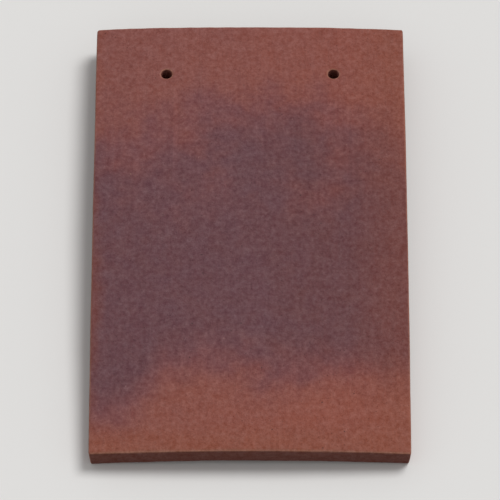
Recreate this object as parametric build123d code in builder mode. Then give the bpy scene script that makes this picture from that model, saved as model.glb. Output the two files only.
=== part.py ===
from build123d import *
from math import asin, atan, cos, degrees, sin, sqrt
import os

os.makedirs("parts", exist_ok=True)

# Clay plain roof tile, sizes in millimetres. X runs across the tile, Y from its
# tail to its head, Z up. It lies on its two nibs and the two corners of its tail.
tile_length = 265.0
tile_width = 165.0
tile_thickness = 12.0

# Double camber: the crown of the top face stands this far above the middle of
# its side edges and above the middle of its two ends.
cross_rise = 3.0
long_rise = 4.0

# Soft edges of the clay: the arrises of the two ends are a little rounder than
# the long ones at the sides.
end_arris_radius = 1.5
side_arris_radius = 1.0

# Nibs: two short blocks under the head that hook over the batten. The setback
# is from the head end to the face that bears on the batten, the inset from the
# side edge to the nib's outer side. The back leans by the rake over the depth.
nib_width = 22.0
nib_depth = 10.0
nib_foot = 7.5
nib_rake = 2.0
nib_setback = 16.0
nib_inset = 30.0
nib_edge_radius = 1.5
nib_foot_radius = 1.0
nib_flare = 2.0
nib_root_sink = 0.5

# Nail holes, punched square to the tile, with a worn mouth at both ends.
nail_radius = 3.0
nail_from_head = 32.0
nail_from_side = 38.0
nail_mouth_radius = 0.8

# Radii of the two arcs that cross on the crown of the top face, and how far
# the sides and the ends lean away from it.
cross_radius = tile_width**2 / (8 * cross_rise) + cross_rise / 2
long_radius = tile_length**2 / (8 * long_rise) + long_rise / 2
under_radius = long_radius - tile_thickness
side_lean = asin(tile_width / 2 / cross_radius)
end_lean = asin(tile_length / 2 / long_radius)

# Places on the underside, measured from the crown along the tile's own axes:
# the lower corner of the tail, and the root of a nib at its bearing face.
corner_y = -under_radius * sin(end_lean)
corner_swing = cross_radius - long_radius + under_radius * cos(end_lean)
corner_z = corner_swing * cos(side_lean) - cross_radius
nib_x = tile_width / 2 - nib_inset - nib_width / 2
nib_y = tile_length / 2 - nib_setback
nib_swing = cross_radius - long_radius + sqrt(under_radius**2 - nib_y**2)
nib_root_z = sqrt(nib_swing**2 - nib_x**2) - cross_radius

# Angle at which the tile lies: it brings the feet of the nibs level with the
# lower corners of the tail.
rest_angle = atan((corner_z - nib_root_z + nib_depth) / (nib_y - corner_y))
lean = Plane(origin=(0, 0, 0), x_dir=(1, 0, 0), z_dir=(0, -sin(rest_angle), cos(rest_angle)))

# The clay blank: its long section stands at the left side and is swept across
# to the right about an axis far below the tile.
sweep_axis = Axis(lean.z_dir * -cross_radius, lean.y_dir)
left_side = Plane(
    origin=sweep_axis.position,
    x_dir=lean.y_dir,
    z_dir=lean.x_dir * cos(side_lean) + lean.z_dir * sin(side_lean),
)
end_top = (tile_length / 2, cross_radius - long_rise)
end_foot = (under_radius * sin(end_lean), corner_swing)

with BuildPart() as blank:
    with BuildSketch(left_side):
        with BuildLine():
            ThreePointArc((-end_top[0], end_top[1]), (0, cross_radius), end_top)
            Line(end_top, end_foot)
            ThreePointArc(
                end_foot, (0, cross_radius - tile_thickness), (-end_foot[0], end_foot[1])
            )
            Line((-end_foot[0], end_foot[1]), (-end_top[0], end_top[1]))
        section = make_face()
        fillet(section.vertices(), radius=end_arris_radius)
    revolve(axis=sweep_axis, revolution_arc=degrees(2 * side_lean))
    side_faces = blank.faces().filter_by(GeomType.PLANE)
    fillet(side_faces.edges(), radius=side_arris_radius)

# The blank is set down: its lowest corners on the floor, its middle over the origin.
blank_box = blank.part.bounding_box()
crown = Vector(0, -blank_box.center().Y, -blank_box.min.Z)
lie = Plane(origin=crown, x_dir=lean.x_dir, z_dir=lean.z_dir)

# The right nib is drawn from its side: an upright bearing face toward the tail, a
# raked back, and a level foot where it is cut off by the floor it lies on.
nib_side = Plane(origin=crown + Vector(nib_x, 0, 0), x_dir=lie.y_dir, z_dir=lie.x_dir)
rake = nib_rake / nib_depth
nib_top = nib_root_z + nib_flare
nib_low = nib_root_z - 1.5 * nib_depth
back_y = nib_y + nib_foot + nib_rake

# Its root is a plate laid along the underside there and sunk in the clay, so
# that only the flare between the plate and the block shows.
root_y = (nib_y + back_y) / 2
root_pitch = asin(root_y / under_radius)
root_swing = cross_radius - long_radius + under_radius * cos(root_pitch)
root_lean = asin(nib_x / root_swing)
root_plane = Plane(
    origin=lie.from_local_coords((nib_x, root_y, root_swing * cos(root_lean) - cross_radius)),
    x_dir=lie.x_dir * cos(root_lean) - lie.z_dir * sin(root_lean),
    z_dir=(lie.x_dir * sin(root_lean) + lie.z_dir * cos(root_lean)) * cos(root_pitch)
    + lie.y_dir * sin(root_pitch),
)

with BuildPart() as nib:
    with BuildSketch(nib_side):
        with BuildLine():
            Polyline(
                (nib_y, nib_top),
                (back_y + rake * nib_flare, nib_top),
                (back_y - rake * 1.5 * nib_depth, nib_low),
                (nib_y, nib_low),
                close=True,
            )
        make_face()
    extrude(amount=nib_width / 2, both=True)
    split(bisect_by=Plane.XY, keep=Keep.TOP)
    front_to_back = nib.faces().sort_by(Axis.Y)
    standing = (front_to_back[0].edges() + front_to_back[-1].edges()).filter_by(
        Axis.X, reverse=True
    )
    fillet(standing, radius=nib_edge_radius)
    foot_face = nib.faces().sort_by(Axis.Z)[0]
    fillet(foot_face.edges(), radius=nib_foot_radius)
    with BuildSketch(root_plane.offset(nib_root_sink)):
        Rectangle(nib_width + 2.5 * nib_flare, back_y - nib_y + 2.5 * nib_flare)
    extrude(amount=2 * nib_flare)
    fillet(nib.edges(Select.NEW), radius=nib_flare)

hole_x = tile_width / 2 - nail_from_side
hole_y = tile_length / 2 - nail_from_head

# The whole tile is one piece of clay: the blank, its two nibs and the nail holes.
with BuildPart() as clay_tile:
    with Locations(crown):
        add(blank.part)
    add(nib.part)
    mirror(nib.part, about=Plane.YZ)
    with Locations(lie):
        with Locations((hole_x, hole_y, 0), (-hole_x, hole_y, 0)):
            Hole(radius=nail_radius, depth=2 * tile_thickness)
    hole_mouths = clay_tile.edges(Select.NEW).filter_by(GeomType.LINE, reverse=True)
    fillet(hole_mouths, radius=nail_mouth_radius)

clay_tile.part.label = "clay_tile"
export_step(clay_tile.part, "parts/clay_tile.step")
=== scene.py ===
"""Looks of one clay roof tile, lying on its nibs and the corners of its tail."""

import math

import bpy
import numpy as np
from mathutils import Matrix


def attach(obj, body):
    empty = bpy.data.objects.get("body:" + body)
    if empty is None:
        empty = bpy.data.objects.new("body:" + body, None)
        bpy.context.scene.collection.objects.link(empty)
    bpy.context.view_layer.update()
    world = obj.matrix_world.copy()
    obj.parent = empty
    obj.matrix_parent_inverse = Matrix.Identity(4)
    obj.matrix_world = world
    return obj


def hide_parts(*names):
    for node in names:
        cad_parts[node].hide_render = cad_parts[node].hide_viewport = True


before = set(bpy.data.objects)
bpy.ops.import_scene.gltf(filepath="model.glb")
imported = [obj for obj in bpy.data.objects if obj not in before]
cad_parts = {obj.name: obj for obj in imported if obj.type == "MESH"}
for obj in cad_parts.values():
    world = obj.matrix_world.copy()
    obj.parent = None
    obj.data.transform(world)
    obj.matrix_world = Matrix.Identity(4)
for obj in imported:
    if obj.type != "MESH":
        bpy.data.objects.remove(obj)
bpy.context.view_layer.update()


# The slab: one strip of plain clay, squeezed flat from a die, cut to length by a wire
# and bent a little both ways while it was soft. Sizes of the tile are in millimetres,
# with X across it, Y from its tail to its head and Z square to its crown.
tile_length = 265.0
tile_width = 165.0
tile_thickness = 12.0
cross_rise = 3.0
long_rise = 4.0
end_arris = 1.5
side_arris = 1.0
broad_cell = 1.15
edge_cell = 1.8

cross_radius = tile_width**2 / (8 * cross_rise) + cross_rise / 2
long_radius = tile_length**2 / (8 * long_rise) + long_rise / 2
under_radius = long_radius - tile_thickness
side_lean = math.asin(tile_width / 2 / cross_radius)
end_lean = math.asin(tile_length / 2 / long_radius)
slab_half = np.array((cross_radius * side_lean, long_radius * end_lean, tile_thickness / 2))


def ruled_lines(half, corner, cell):
    """Line places from -half to half: even cells between the two rounded edges, and in each
    edge four lines whose places on the round are 0, 15, 30 and 45 degrees from its start."""
    edge = corner * (1 - np.tan(np.radians((45, 30, 15, 0))))
    inner = np.linspace(corner - half, half - corner, round(2 * (half - corner) / cell) + 1)
    return np.concatenate((edge[:3] - half, inner, half - edge[2::-1]))


def eased(sharp, half, corner):
    """A box or rectangle with round edges: each point of the sharp one is held inside by the
    corner radius, then pushed out again by that radius in the direction it was held back."""
    held = np.clip(sharp, corner - half, half - corner)
    push = (sharp - held) / corner
    return held + corner * push / np.linalg.norm(push, axis=-1, keepdims=True)


def unevenness(points, size, seed):
    """Soft noise from 0 to 1: random values at the corners of cubes of this size, blended
    inside each cube by the smooth step of the place in it along the three axes. It comes
    back after 64 cubes."""
    repeat = 64
    values = np.random.default_rng(seed).random((repeat, repeat, repeat))
    place = points / size
    corner = np.floor(place).astype(int)
    step = place - corner
    step = step * step * (3 - 2 * step)
    total = np.zeros(len(points))
    for offset in np.ndindex(2, 2, 2):
        share = np.where(offset, step, 1 - step).prod(axis=1)
        total += share * values[tuple(((corner + offset) % repeat).T)]
    return total


def cambered(points):
    """The flat slab bent both ways: the place along it is an angle on the long arc and the
    place across an angle on the cross arc, and depth brings a point nearer both centres."""
    depth = tile_thickness / 2 - points[:, 2]
    along = points[:, 1] / long_radius
    across = points[:, 0] / cross_radius
    y = (long_radius - depth) * np.sin(along)
    swing = cross_radius - long_radius + (long_radius - depth) * np.cos(along)
    return np.stack((swing * np.sin(across), y, swing * np.cos(across) - cross_radius), axis=1)


def face_height(x, y, arc_radius):
    """Height of the top or under face over a place: the long arc gives the swing there, and
    the swing and the place across give the height on the circle round the cross centre."""
    swing = cross_radius - long_radius + np.sqrt(arc_radius**2 - y**2)
    return np.sqrt(swing**2 - x**2) - cross_radius


cross_lines = ruled_lines(slab_half[0], side_arris, broad_cell)
long_lines = ruled_lines(slab_half[1], end_arris, broad_cell)
depth_lines = ruled_lines(slab_half[2], end_arris, edge_cell)
line_counts = np.array((len(cross_lines), len(long_lines), len(depth_lines)))
last = line_counts - 1


def crossing(i, j, k):
    """One whole number for each crossing of the ruled lines: the three numbers of its lines
    as the digits of one number, with as many units to a digit as there are lines that way."""
    return (i * line_counts[1] + j) * line_counts[2] + k


def slab_side(axis, level):
    """Quads of one of the slab's six sides, as crossings: the cells between its lines row by
    row, and at level 0 with their corners the other way round, so that all face outwards."""
    first, second = (axis + 1) % 3, (axis + 2) % 3
    a, b = np.meshgrid(np.arange(last[first]), np.arange(last[second]), indexing="ij")
    corners = []
    for da, db in ((0, 0), (1, 0), (1, 1), (0, 1)):
        place = [None, None, None]
        place[axis] = np.full(a.shape, level)
        place[first] = a + da
        place[second] = b + db
        corners.append(crossing(*place))
    corners = np.stack(corners, axis=-1)
    return corners if level else corners[..., ::-1]


def cut_out(centre, half):
    """A block of cells to cut from the broad faces, between the lines nearest to its sides:
    its cells as slices, the lines of its edge points in turn, anticlockwise from above, and
    the places of those points on a square from -1 to 1 both ways."""
    low_i, high_i = (int(np.abs(cross_lines - centre[0] - s * half[0]).argmin()) for s in (-1, 1))
    low_j, high_j = (int(np.abs(long_lines - centre[1] - s * half[1]).argmin()) for s in (-1, 1))
    i = np.arange(low_i, high_i)
    j = np.arange(low_j, high_j)
    around_i = np.concatenate((i, np.full(len(j), high_i), i[::-1] + 1, np.full(len(j), low_i)))
    around_j = np.concatenate((np.full(len(i), low_j), j, np.full(len(i), high_j), j[::-1] + 1))
    square_x = 2 * (around_i - low_i) / (high_i - low_i) - 1
    square_y = 2 * (around_j - low_j) / (high_j - low_j) - 1
    cells = (slice(low_i, high_i), slice(low_j, high_j))
    return cells, (around_i, around_j), np.stack((square_x, square_y), axis=1)


# Two nail holes and two nibs near the head, all in the same clay as the slab. Their
# places are measured from its sides and its head end, and for each a block of cells
# is cut from the broad faces, which rings of points fill again further on.
nail_radius = 3.0
nail_mouth = 0.8
nail_from_side = 38.0
nail_from_head = 32.0
nail_x = tile_width / 2 - nail_from_side
nail_y = tile_length / 2 - nail_from_head
nail_cut_half = (6.0, 6.0)

nib_width = 22.0
nib_depth = 10.0
nib_foot = 7.5
nib_rake = 2.0
nib_setback = 16.0
nib_inset = 30.0
nib_edge = 1.5
nib_foot_round = 1.0
nib_flare = 2.0
nib_x = tile_width / 2 - nib_inset - nib_width / 2
nib_front = tile_length / 2 - nib_setback
nib_back = nib_front + nib_foot + nib_rake
nib_middle = (nib_front + nib_back) / 2 * long_radius / under_radius
nib_cut_half = (15.5, 9.0)

nail_cuts = [cut_out((side * nail_x, nail_y), nail_cut_half) for side in (-1, 1)]
nib_cuts = [cut_out((side * nib_x, nib_middle), nib_cut_half) for side in (-1, 1)]
top_cells = np.ones(last[:2], bool)
under_cells = np.ones(last[:2], bool)
for cells, _, _ in nail_cuts:
    top_cells[cells] = False
for cells, _, _ in nail_cuts + nib_cuts:
    under_cells[cells] = False

sides = [slab_side(2, last[2])[top_cells], slab_side(2, 0)[under_cells]]
sides += [slab_side(axis, level).reshape(-1, 4) for axis in (0, 1) for level in (last[axis], 0)]
keys, slab_quads = np.unique(np.concatenate(sides), return_inverse=True)
i, j, k = np.unravel_index(keys, line_counts)
sharp = np.stack((cross_lines[i], long_lines[j], depth_lines[k]), axis=1)

# The arrises were eased by handling while the clay was wet, from 0.65 to 1.4 times their
# size, and the small round of the sides grows into that of the ends near the corners.
# The share of wear and painted highlight is 0 on the flats and 1 half way round an
# arris, 0.29 being 1 - cos 45.
least_softness = 0.65
corner_reach = 6.0
corner_change = 4.5
half_way_round = 0.29

near_end = np.clip((np.abs(sharp[:, 1]) - slab_half[1] + corner_reach) / corner_change, 0, 1)
softness = least_softness + 0.45 * unevenness(sharp, 14.0, 1) + 0.3 * unevenness(sharp, 3.6, 6)
broad_arris = side_arris + (end_arris - side_arris) * near_end
arris = np.stack((side_arris * softness, end_arris * softness, broad_arris * softness), axis=1)
rounded = eased(sharp, slab_half, arris)
slab_facing = np.abs((rounded - np.clip(rounded, arris - slab_half, slab_half - arris)) / arris)
points = [cambered(rounded)]
wear_and_highlight_share = [np.clip((1 - slab_facing.max(axis=1)) / half_way_round, 0, 1)]
quads = [slab_quads.reshape(-1, 4)]

# How the tile lies on a level floor: its nibs lift the head until their feet are level
# with the two low corners of the tail. The crown's place puts the tile on the floor,
# with its middle over the origin.
corner_swing = cross_radius - long_radius + under_radius * math.cos(end_lean)
corner_y = -under_radius * math.sin(end_lean)
corner_z = corner_swing * math.cos(side_lean) - cross_radius
nib_root = float(face_height(nib_x, nib_front, under_radius))
rest_angle = math.atan((corner_z - nib_root + nib_depth) / (nib_front - corner_y))
lean_y = np.array((0, math.cos(rest_angle), math.sin(rest_angle)))
lean_z = np.array((0, -math.sin(rest_angle), math.cos(rest_angle)))
lean = np.stack((np.array((1, 0, 0)), lean_y, lean_z))
lain = points[0] @ lean
crown = np.array((0, -(lain[:, 1].min() + lain[:, 1].max()) / 2, -lain[:, 2].min()))


# The nail holes: punched square to the tile with a round pin before firing, and worn
# a little at both mouths. Rings of points run in over the top face, round the mouth,
# down the shaft, round the other mouth and out over the under face.
flat_shares = (0.3, 0.6, 0.85)
shaft_shares = (0.25, 0.5, 0.75)
mouth_turn = np.radians(np.linspace(0, 90, 5))
mouth_radii = nail_radius + nail_mouth * (1 - np.sin(mouth_turn))
mouth_sinks = nail_mouth * (1 - np.cos(mouth_turn))
mouth_wear_and_highlight = np.concatenate((np.zeros(len(flat_shares)), np.sin(2 * mouth_turn)))


def cut_edge(around, level):
    """Numbers of the slab's own points round a cut, in its top face or its under face: the
    places of their crossings among those that the slab uses."""
    return np.searchsorted(keys, crossing(around[0], around[1], np.full(len(around[0]), level)))


def add_rings(rings, ring_wear_and_highlight):
    """Adds rings of new points, each ring with its own share of the paler arris tone, part rubbed
    clay and part painted highlight, and gives the points' numbers, ring by ring: they go on
    from the last point made before."""
    start = sum(len(made) for made in points)
    points.append(rings.reshape(-1, 3))
    wear_and_highlight_share.append(np.repeat(ring_wear_and_highlight, rings.shape[1]))
    return start + np.arange(rings.shape[0] * rings.shape[1]).reshape(rings.shape[:2])


def wall_between(rings):
    """Quads between neighbouring rings of point numbers, each ring closed on itself: a point,
    the one ahead of it, and the same two on the next ring."""
    ahead = np.roll(rings, -1, axis=1)
    return np.stack((rings[:-1], ahead[:-1], ahead[1:], rings[1:]), axis=-1).reshape(-1, 4)


def hole_mouth(edge, square, middle, arc_radius, inward):
    """Rings from the edge of a cut to the shaft: over the face at shares of the way, then
    down the quarter round of the mouth, where each is the cut's square made a circle. The
    tangent of the square's places spreads the points evenly round it."""
    even = np.tan(square * math.pi / 4)
    circles = [middle + eased(even, radius, radius) for radius in mouth_radii]
    flats = [edge + share * (circles[0] - edge) for share in flat_shares]
    sinks = np.concatenate((np.zeros(len(flats)), mouth_sinks))
    rings = []
    for xy, sink in zip(flats + circles, sinks):
        rings.append(np.column_stack((xy, face_height(*xy.T, arc_radius) + inward * sink)))
    return np.array(rings)


for side, (_, around, square) in zip((-1, 1), nail_cuts):
    middle = np.array((side * nail_x, nail_y))
    top_edge = cut_edge(around, last[2])
    under_edge = cut_edge(around, 0)
    top_mouth = hole_mouth(points[0][top_edge][:, :2], square, middle, long_radius, -1)
    under_mouth = hole_mouth(points[0][under_edge][:, :2], square, middle, under_radius, 1)
    through = under_mouth[-1] - top_mouth[-1]
    shaft = [top_mouth[-1] + share * through for share in shaft_shares]
    ring_wear_and_highlight = np.concatenate((mouth_wear_and_highlight, np.zeros(len(shaft)), mouth_wear_and_highlight[::-1]))
    made = add_rings(np.concatenate((top_mouth, shaft, under_mouth[::-1])), ring_wear_and_highlight)
    quads.append(wall_between(np.vstack((top_edge, made, under_edge))))


# The nibs: two blocks pressed down from the clay under the head, which hook over a
# batten. They stand upright toward the tail, are raked at the back and flared at the
# root, and their feet were cut level, where the tile lies on the floor.
root_shares = (0.35, 0.7)
flare_turn = np.radians(np.linspace(0, 90, 6))
flare_swells = nib_flare * (1 - np.sin(flare_turn))
flare_sinks = nib_flare * (1 - np.cos(flare_turn))
block_shares = np.linspace(0, 1, 7)[1:]
foot_turn = np.radians(np.linspace(0, 90, 5))[1:]
foot_shrinks = nib_foot_round * (1 - np.cos(foot_turn))
foot_rises = nib_foot_round * (1 - np.sin(foot_turn))


def toward_edges(square):
    """Places from -1 to 1, each moved nearer its end by half of its difference from its own
    cube, so that more of them lie on the round corners."""
    return square * (1.5 - 0.5 * square**2)


def nib_outline(side, places, swell, drop):
    """A nib's outline at a share of its drop, swelled outwards by a distance: a rectangle
    with round corners, whose back has come forward by that share of the rake."""
    back = nib_back - nib_rake * drop
    half = np.array((nib_width / 2 + swell, (back - nib_front) / 2 + swell))
    middle = np.array((side * nib_x, (back + nib_front) / 2))
    return middle + eased(places * half, half, nib_edge + swell)


def floor_level(xy):
    """Height of the floor under a place, in the leaning tile's own heights: as far below as
    the crown and the rise of the lean up to that place are above the floor."""
    return -(crown[2] + xy[:, 1] * lean_y[2]) / lean_z[2]


for side, (_, around, square) in zip((-1, 1), nib_cuts):
    places = toward_edges(square)
    under_edge = cut_edge(around, 0)
    edge = points[0][under_edge][:, :2]
    rings = []
    for share in root_shares:
        xy = edge + share * (nib_outline(side, places, nib_flare, 0.0) - edge)
        rings.append(np.column_stack((xy, face_height(*xy.T, under_radius))))
    for swell, sink in zip(flare_swells, flare_sinks):
        xy = nib_outline(side, places, swell, sink / nib_depth)
        rings.append(np.column_stack((xy, face_height(*xy.T, under_radius) - sink)))
    root_ring = rings[-1]
    xy = nib_outline(side, places, 0.0, 1 - nib_foot_round / nib_depth)
    foot_ring = np.column_stack((xy, floor_level(xy) + nib_foot_round))
    rings += [root_ring + share * (foot_ring - root_ring) for share in block_shares]
    for shrink, rise in zip(foot_shrinks, foot_rises):
        xy = nib_outline(side, places, -shrink, 1.0)
        rings.append(np.column_stack((xy, floor_level(xy) + rise)))
    ring_wear_and_highlight = np.concatenate((np.zeros(len(rings) - len(foot_turn)), np.sin(2 * foot_turn)))
    made = add_rings(np.array(rings), ring_wear_and_highlight)
    quads.append(wall_between(np.vstack((under_edge, made))[::-1]))

    # The foot is a grid of as many cells as the cut had. Each of its points lies on a
    # smaller copy of the foot's outline, round the foot's middle.
    row, column = around[0] - around[0].min(), around[1] - around[1].min()
    across = np.linspace(-1, 1, row.max() + 1)
    along = np.linspace(-1, 1, column.max() + 1)
    u, v = np.meshgrid(across, along, indexing="ij")
    foot = toward_edges(np.stack((u, v), axis=-1).reshape(-1, 2))
    reach = np.abs(foot).max(axis=1, keepdims=True)
    ends = np.array(((-1.0, 0.0), (1.0, 0.0)))
    middle = nib_outline(side, ends, -nib_foot_round, 1.0).mean(axis=0)
    xy = middle + reach * (nib_outline(side, foot / reach, -nib_foot_round, 1.0) - middle)
    sole = np.column_stack((xy, floor_level(xy)))
    numbers = add_rings(sole[None], np.zeros(1)).reshape(u.shape)
    numbers[row, column] = made[-1]
    corners = (numbers[:-1, :-1], numbers[:-1, 1:], numbers[1:, 1:], numbers[1:, :-1])
    quads.append(np.stack(corners, axis=-1).reshape(-1, 4))

used, quads = np.unique(np.concatenate(quads), return_inverse=True)
quads = quads.reshape(-1, 4)
points = np.concatenate(points)[used]
wear_and_highlight_share = np.concatenate(wear_and_highlight_share)[used]


# The skin of the clay: slow waves left by drying and firing, lines that the die dragged
# along it, deeper underneath, and a ragged burr round the lower mouths of the nail holes,
# where the pin came out. Each wave has its height, its width and the seed of its noise.
waves = ((0.30, 62.0, 2), (0.12, 19.0, 3), (0.05, 6.0, 4))
drag_depth = 0.05
drag_more_under = 0.07
drag_stretch = (1, 0.02, 0.3)
drag_size = 3.2
burr_height = 0.45
burr_radius = 4.4
burr_spread = 0.8
burr_size = 2.2


def outward(points, quads):
    """The outward direction at each point: the sum of the area vectors of its quads."""
    corners = points[quads]
    areas = np.cross(corners[:, 2] - corners[:, 0], corners[:, 3] - corners[:, 1])
    total = np.zeros_like(points)
    for n in range(4):
        np.add.at(total, quads[:, n], areas)
    return total / np.linalg.norm(total, axis=1, keepdims=True)


out = outward(points, quads)
facing_down = np.clip(-out[:, 2], 0, 1)
drag = unevenness(points * drag_stretch, drag_size, 5) * np.abs(out[:, 2])
from_nail = np.hypot(np.abs(points[:, 0]) - nail_x, points[:, 1] - nail_y)
burr = facing_down * np.exp(-(((from_nail - burr_radius) / burr_spread) ** 2))
burr = burr * unevenness(points, burr_size, 7)
relief = sum(depth * unevenness(points, size, seed) for depth, size, seed in waves)
relief = relief + (drag_depth + drag_more_under * facing_down) * drag - burr_height * burr

# The relief counts inwards from its own mean, so the tile keeps its thickness.
skin = points + out * (relief.mean() - relief)[:, None]
placed = crown + skin @ lean
placed[:, 2] -= placed[:, 2].min()

mesh = bpy.data.meshes.new("fired_tile")
mesh.vertices.add(len(placed))
mesh.vertices.foreach_set("co", (placed * 0.001).astype(np.float32).ravel())
mesh.loops.add(quads.size)
mesh.loops.foreach_set("vertex_index", quads.astype(np.int32).ravel())
mesh.polygons.add(len(quads))
mesh.polygons.foreach_set("loop_start", np.arange(0, quads.size, 4, dtype=np.int32))
mesh.polygons.foreach_set("use_smooth", np.ones(len(quads), bool))
worn_on_mesh = mesh.attributes.new("wear_and_highlight_share", "FLOAT", "POINT")
worn_on_mesh.data.foreach_set("value", wear_and_highlight_share.astype(np.float32))
face_on_mesh = mesh.attributes.new("face", "FLOAT_VECTOR", "POINT")
face_on_mesh.data.foreach_set("vector", out.astype(np.float32).ravel())
mesh.update(calc_edges=True)
mesh.validate()
tile = bpy.data.objects.new("fired_tile", mesh)
bpy.context.scene.collection.objects.link(tile)


# The tile's finish: bare brindled clay, red-brown and flashed purple-grey by the smoke
# of the kiln. It is gritty with sand, grog and iron, and scored along its faces by the die
# and along its ends by the wire. Its arrises are paler, partly from wear and partly as a
# painted highlight, and its end faces darker, partly as painted shade.
red = (0.262, 0.088, 0.069)
bright_red = (0.288, 0.090, 0.065)
mauve = (0.198, 0.072, 0.073)
purple = (0.142, 0.061, 0.071)
russet = (0.226, 0.062, 0.047)
smoky = (0.146, 0.050, 0.046)
brown = (0.180, 0.057, 0.047)
ochre = (0.268, 0.086, 0.058)
body = (0.262, 0.092, 0.064)
# The end faces' tone is partly their own clay and partly painted shade.
end_tone_with_painted_shade = (0.170, 0.060, 0.046)
# The rim tone is partly worn clay and partly a painted highlight on the arrises.
worn_rim_and_painted_highlight = (0.380, 0.170, 0.115)
iron = (0.050, 0.026, 0.026)
grog = (0.420, 0.230, 0.180)
cooler = (0.955, 1.0, 1.06)
warmer = (1.045, 1.0, 0.94)


class Tone:
    """A value or colour on its way through a node tree. Sums, differences, products and
    quotients of values and numbers add their Math nodes."""

    def __init__(self, tree, socket=None):
        self.tree = tree
        self.socket = socket

    def node(self, kind, settings, sockets, output=0):
        """Adds a node of this kind: its settings first, then the value or link of each
        socket that is named, and gives back one of its outputs."""
        made = self.tree.nodes.new(kind)
        for name, value in settings.items():
            setattr(made, name, value)
        for name, value in sockets.items():
            if isinstance(value, Tone):
                self.tree.links.new(value.socket, made.inputs[name])
            else:
                made.inputs[name].default_value = value
        return Tone(self.tree, made.outputs[output])

    def math(self, operation, *values):
        """A Math node on values or numbers."""
        return self.node("ShaderNodeMath", {"operation": operation}, dict(enumerate(values)))

    def __add__(self, other):
        return self.math("ADD", self, other)

    def __sub__(self, other):
        return self.math("SUBTRACT", self, other)

    def __rsub__(self, other):
        return self.math("SUBTRACT", other, self)

    def __mul__(self, other):
        return self.math("MULTIPLY", self, other)

    def __truediv__(self, other):
        return self.math("DIVIDE", self, other)

    __radd__ = __add__
    __rmul__ = __mul__

    def vector(self, operation, first, second):
        """A Vector Math node on a place or colour and a second one, or a value to scale by."""
        sockets = {0: first, "Scale" if operation == "SCALE" else 1: second}
        return self.node("ShaderNodeVectorMath", {"operation": operation}, sockets)

    def parts(self):
        """The three numbers of a place, direction or colour."""
        first = self.node("ShaderNodeSeparateXYZ", {}, {0: self})
        return [Tone(self.tree, socket) for socket in first.socket.node.outputs]

    def between(self, low, high):
        """0 below low, 1 above high, and a smooth step between them."""
        sockets = {"Value": self, "From Min": low, "From Max": high}
        return self.node("ShaderNodeMapRange", {"interpolation_type": "SMOOTHSTEP"}, sockets)

    def blend(self, under, over):
        """A colour that goes from under to over as this value goes from 0 to 1. The Mix
        node's colours are its sockets 6 and 7, and its mixed colour is its output 2."""
        sockets = {0: self}
        for number, colour in ((6, under), (7, over)):
            sockets[number] = colour if isinstance(colour, Tone) else (*colour, 1)
        return self.node("ShaderNodeMix", {"data_type": "RGBA"}, sockets, 2)

    def cloud(self, place, size, detail=2.0, stretch=(1, 1, 1), crisp=0.5):
        """Noise from 0 to 1 on a place in millimetres, with features of this size. The finer
        layers that detail adds each have the crisp share of the strength of the one before."""
        scaled = self.vector("MULTIPLY", place, tuple(1 / (size * s) for s in stretch))
        sockets = {"Vector": scaled, "Scale": 1.0, "Detail": detail, "Roughness": crisp}
        return self.node("ShaderNodeTexNoise", {}, sockets)

    def specks(self, place, spacing, radius, share):
        """1 in small round specks: each cell of a Voronoi pattern has its speck at its own
        middle, with 0.4 to 1 times this radius and a soft rim, and only this share of the
        cells has one."""
        scaled = self.vector("SCALE", place, 1 / spacing)
        from_middle = self.node("ShaderNodeTexVoronoi", {}, {"Vector": scaled, "Scale": 1.0})
        chance, size, _ = Tone(self.tree, from_middle.socket.node.outputs["Color"]).parts()
        reach = (size * 0.6 + 0.4) * (radius / spacing)
        inside = 1 - (from_middle / reach).between(0.7, 1.1)
        return inside * (1 - chance.between(share, share + 0.02))


def new_finish(name):
    """A new material: its tree as a Tone, and the surface socket of its output."""
    made = bpy.data.materials.new(name)
    made.use_nodes = True
    made.node_tree.nodes.clear()
    output = made.node_tree.nodes.new("ShaderNodeOutputMaterial")
    return made, Tone(made.node_tree), output.inputs["Surface"]


clay, tree, surface = new_finish("brindled_clay")
where = tree.node("ShaderNodeTexCoord", {}, {}, "Object")
mm = tree.vector("SCALE", where, 1000.0)
x, y, _ = mm.parts()
above_tail = y + tile_length / 2
from_left = (x + tile_width / 2) / tile_width
from_side = tile_width / 2 - tree.math("ABSOLUTE", x)
from_end = tile_length / 2 - tree.math("ABSOLUTE", y)
arris_wear_and_highlight = tree.node("ShaderNodeAttribute", {"attribute_name": "wear_and_highlight_share"}, {}, "Fac")
direction = tree.node("ShaderNodeAttribute", {"attribute_name": "face"}, {}, "Vector")
_, face_y, face_z = direction.parts()
on_top = face_z.between(0.1, 0.8)
below = 1 - face_z.between(-0.7, -0.2)
on_end = tree.math("ABSOLUTE", face_y).between(0.6, 0.9)

# Clouds and lines in the clay, each with its size in millimetres first, and specks in
# it, each with their spacing, their radius and the share of places that have one.
broad = tree.cloud(mm, 60.0, 1.0)
patch = tree.cloud(mm, 16.0, 2.0)
hue = tree.cloud(mm, 9.0, 2.0)
mottle = tree.cloud(mm, 5.5, 2.0)
coarse = tree.cloud(mm, 2.3, 2.0)
grain = tree.cloud(mm, 1.1, 5.0, crisp=0.72)
streak = tree.cloud(mm, 1.3, 2.0, (1, 90, 1))
wire = tree.cloud(mm, 0.8, 2.0, (30, 1, 1))
grog_specks = tree.specks(mm, 7.1, 0.50, 0.22)
iron_specks = tree.specks(mm, 5.2, 0.50, 0.30)
pale_grains = tree.specks(mm, 2.9, 0.30, 0.45)
pits = tree.specks(mm, 2.3, 0.34, 0.50)
sand_per_mm = 1.6
sand = tree.node("ShaderNodeTexVoronoi", {}, {"Vector": mm, "Scale": sand_per_mm})

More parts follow.
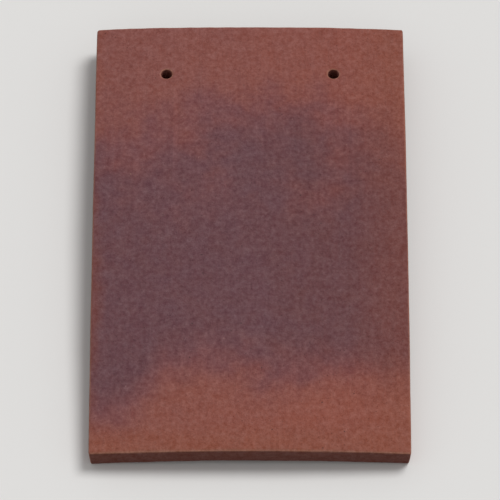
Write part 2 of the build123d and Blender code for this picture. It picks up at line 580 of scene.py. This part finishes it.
# The flash starts nearer to the tail on the left than on the right, with a cloudy and
# frayed edge, and breaks up again toward the head. Its places and the widths over
# which it fades are in millimetres above the tail.
flash_low = 22.0
flash_step = 26.0
flash_fade = 50.0
flash_top = 188.0
flash_top_fade = 90.0
flash_start = from_left.between(0.10, 0.27) * flash_step + flash_low
drift = (broad - 0.5) * 0.7 + (patch - 0.5) * 0.3
fray = (0.5 - mottle) * 0.18 + (0.5 - coarse) * 0.16
lower = (above_tail - flash_start) / flash_fade + drift + fray + 0.5
upper = (flash_top - above_tail) / flash_top_fade + drift * 2.0 + fray + 0.5
flash = lower.between(0.0, 1.0) * (upper.between(0.0, 1.0) * 0.85 + 0.15)

# Tone of the top: red, then the flash in two steps, mauve and purple on the left and
# warmer in patches to the right, then ragged brown and ochre bands down both sides,
# whose edges are shares of the tile's width.
left_band = (-0.02, 0.04)
right_band = (0.78, 1.0)
tone = from_left.between(0.1, 0.9).blend(red, bright_red)
warmth = from_left.between(0.4, 0.8) * 0.34 + (0.5 - patch) * 0.8
tone = (flash * 2.0).blend(tone, warmth.blend(mauve, russet))
tone = (flash * 2.0 - 1.0).blend(tone, warmth.blend(purple, smoky))
ragged = from_left + (broad - 0.5) * 0.10 + (patch - 0.5) * 0.06
side_band = ragged.between(*right_band) * 0.74 + (1 - ragged.between(*left_band)) * 0.7
tone = side_band.blend(tone, flash.blend(ochre, brown))

# Tone of the rest: mauve creeps in under the tile from its edges, the top turns ochre
# in the two centimetres above the tail, the end faces are darker, partly as painted shade,
# and the arrises paler, partly from wear and partly as a painted highlight.
creep_band = (1.0, 13.0)
creep_fray = 24.0
tail_band = (3.0, 20.0)
near_edge = tree.math("MINIMUM", from_side, from_end)
creep = 1 - (near_edge + (patch - 0.5) * creep_fray).between(*creep_band)
under_tone = (creep * 0.6).blend(body, mauve)
tone = below.blend((1 - on_top).blend(tone, red), under_tone)
near_tail = 1 - above_tail.between(*tail_band)
tone = (near_tail * on_top * 0.9).blend(tone, ochre)
# Painted shade, in part: the end faces take a darker tone.
tone = on_end.blend(tone, end_tone_with_painted_shade)
# The arrises take a paler rim tone, partly wear and partly a painted highlight, a little more
# along the tail.
tone = (arris_wear_and_highlight * ((patch - 0.5) * 1.2 + near_tail * 0.2 + 0.75)).blend(tone, worn_rim_and_painted_highlight)

# Over all of it go specks, a slow change of hue, powder, and the light and dark of the
# grain, the sand, the pits and the lines.
tone = (iron_specks * 0.6).blend(tone, iron)
tone = (grog_specks * 0.35).blend(tone, grog)
tone = tree.vector("MULTIPLY", tone, hue.blend(cooler, warmer))
powder = (grain - 0.5) * 0.050 + (coarse - 0.5) * 0.066 + (mottle - 0.5) * 0.028
tone = tree.vector("ADD", tone, powder)
light = (
    1
    + (grain - 0.5) * 0.38
    + (0.5 - sand) * 0.26
    + (coarse - 0.5) * 0.29
    + (mottle - 0.5) * 0.12
    + (streak - 0.5) * (below * 0.25 + 0.20)
    + pale_grains * 0.16
    # The pits are darker in colour as painted shade in them.
    - pits * 0.26
    + (wire - 0.5) * on_end * 0.5
)
tone = tree.vector("SCALE", tone, light)

# The same grain, sand, pits and lines stand up or sink in by about 0.1 mm at most. The
# numbers are their heights in millimetres.
height = (
    grain * 0.12
    - sand * 0.10
    + coarse * 0.07
    + streak * (below * 0.06 + 0.05)
    - pits * 0.12
    + wire * on_end * 0.12
    - iron_specks * 0.10
)
sockets = {"Strength": 1.0, "Distance": 0.001, "Height": height}
bump = tree.node("ShaderNodeBump", {}, sockets)
sockets = {
    "Base Color": tone,
    "Roughness": 0.86 - flash * on_top * 0.10 + (coarse - 0.5) * 0.12,
    "Normal": bump,
    "Specular IOR Level": 0.22,
}
shader = tree.node("ShaderNodeBsdfPrincipled", {}, sockets)
tree.tree.links.new(shader.socket, surface)
mesh.materials.append(clay)
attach(tile, "root")
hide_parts("clay_tile")


# The floor: a plain pale matt sheet, laid flat and wide enough to reach past every view.
# It shows nothing but the tile's shadow. Its size is in metres.
floor_half = 12.0
floor_corners = [
    (-floor_half, -floor_half, 0),
    (floor_half, -floor_half, 0),
    (floor_half, floor_half, 0),
    (-floor_half, floor_half, 0),
]


def backdrop_tone(tree, lighting, shown):
    """One colour for the light that the object gets, and a paler one for what is seen of the
    backdrop, straight, in a gloss or through glass."""
    rays = ("Is Camera Ray", "Is Glossy Ray", "Is Transmission Ray")
    path = tree.node("ShaderNodeLightPath", {}, {})
    seen, shiny, through = (Tone(tree.tree, path.socket.node.outputs[ray]) for ray in rays)
    return (seen + shiny + through).blend(lighting, shown)


floor_mesh = bpy.data.meshes.new("floor")
floor_mesh.from_pydata(floor_corners, [], [(0, 1, 2, 3)])
floor = bpy.data.objects.new("floor", floor_mesh)
bpy.context.scene.collection.objects.link(floor)

floor_finish, tree, surface = new_finish("pale_floor")
sockets = {
    "Base Color": backdrop_tone(tree, (0.42, 0.41, 0.40), (0.84, 0.83, 0.815)),
    "Roughness": 0.9,
    "Specular IOR Level": 0.1,
}
shader = tree.node("ShaderNodeBsdfPrincipled", {}, sockets)
tree.tree.links.new(shader.socket, surface)
floor_mesh.materials.append(floor_finish)

# Light: an even pale sky all round, and one wide soft lamp high behind the head on the
# right, so that the tail's end face lies in its own shade.
world = bpy.data.worlds.new("studio")
bpy.context.scene.world = world
world.use_nodes = True
sky = backdrop_tone(Tone(world.node_tree), (0.42, 0.42, 0.42), (0.75, 0.74, 0.725))
world.node_tree.links.new(sky.socket, world.node_tree.nodes["Background"].inputs["Color"])

lamp_turn = math.radians(50.0)
lamp_rise = math.radians(58.0)
lamp = bpy.data.lights.new("soft_lamp", "SUN")
lamp.angle = math.radians(28.0)
lamp.energy = 1.68
lamp_holder = bpy.data.objects.new("soft_lamp", lamp)
bpy.context.scene.collection.objects.link(lamp_holder)
lamp_holder.rotation_euler = (math.pi / 2 - lamp_rise, 0, math.pi - lamp_turn)

# The camera looks at the tile as the photograph does, from the tail side and from as
# far off. Its view is view_width wide where it aims, in metres.
elevation = math.radians(55.5)
distance = 2.6
view_width = 0.262
sensor_width = 36.0
aim = np.array((0.0, -0.004, 0.008))
camera_data = bpy.data.cameras.new("camera")
camera_data.sensor_width = sensor_width
camera_data.lens = sensor_width * distance / view_width
camera_data.clip_end = 100.0
camera = bpy.data.objects.new("camera", camera_data)
bpy.context.scene.collection.objects.link(camera)
bpy.context.scene.camera = camera
camera.location = aim + distance * np.array((0, -math.cos(elevation), math.sin(elevation)))
camera.rotation_euler = (math.pi / 2 - elevation, 0, 0)

bpy.context.scene.view_settings.view_transform = "Standard"
